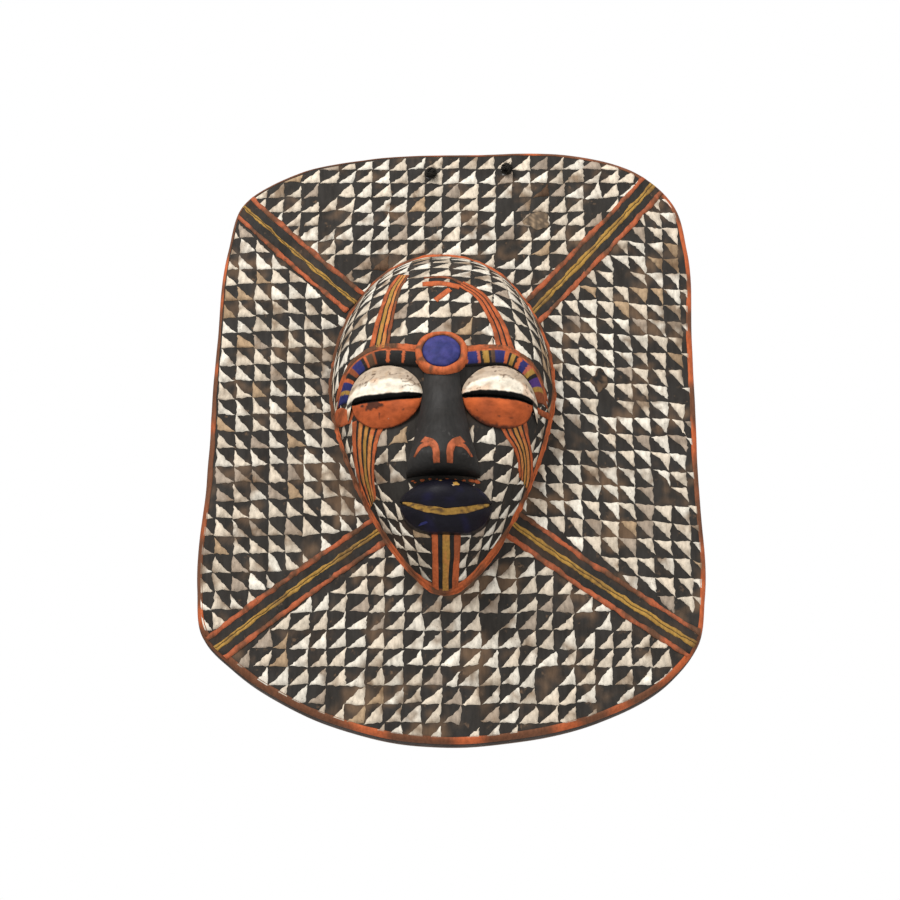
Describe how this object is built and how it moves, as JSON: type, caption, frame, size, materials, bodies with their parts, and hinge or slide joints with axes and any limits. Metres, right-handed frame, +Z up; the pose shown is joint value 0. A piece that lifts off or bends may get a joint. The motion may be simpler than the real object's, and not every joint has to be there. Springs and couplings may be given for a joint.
{
  "type": "carved wooden panel mask",
  "caption": "Carved wooden wall mask: a hollow face with lidded eyes, straight nose and full lips standing out of a flat painted board, hung by a cord loop on its back.",
  "frame": {"origin": "the hang point: on the board's back plane, on its centre line, level with the two cord holes", "axes": "+X to the viewer's right, +Y into the wall that it hangs on, +Z up towards the board's top edge"},
  "size_m": [0.3656, 0.1048, 0.473],
  "materials": {
    "painted_board": "carved wood, near-black stain with rows of cream-painted triangles, orange edge line, matt",
    "painted_face": "carved wood, near-black stain with cream triangles and orange, black and mustard stripes, matt",
    "black_nose": "carved wood, black paint, satin",
    "cream_lid": "carved wood, cream paint, chalky",
    "orange_lid": "carved wood, terracotta orange paint, worn",
    "beaded_brow": "carved wood, black paint with orange, blue, yellow and brown blocks",
    "blue_boss": "carved wood, violet-blue paint",
    "orange_ring": "carved wood, orange paint",
    "dark_lip": "carved wood, navy-black paint, semi-gloss",
    "mustard_strip": "carved wood, mustard paint",
    "black_twine": "twisted fibre twine, fuzzy"
  },
  "bodies": {
    "mask": {"board": "painted_board", "face_shell": "painted_face", "boss_disc": "blue_boss", "boss_ring": "orange_ring", "upper_eyelid_left": "cream_lid", "upper_eyelid_right": "cream_lid", "lower_eyelid_left": "orange_lid", "lower_eyelid_right": "orange_lid", "nose": "black_nose", "brow_left": "beaded_brow", "brow_right": "beaded_brow", "upper_lip": "dark_lip", "lower_lip": "dark_lip", "mouth_strip": "mustard_strip", "cord_knot_left": "black_twine", "cord_knot_right": "black_twine"},
    "cord_loop": {"hanging_cord": "black_twine"}
  },
  "joints": [
    {"name": "hanging_cord_swing", "type": "hinge", "parent": "mask", "child": "cord_loop", "pos_m": [-0.015, -0.0025, -0.002], "axis": [0.9978, 0, 0.0665], "range_deg": [0, 150]}
  ]
}
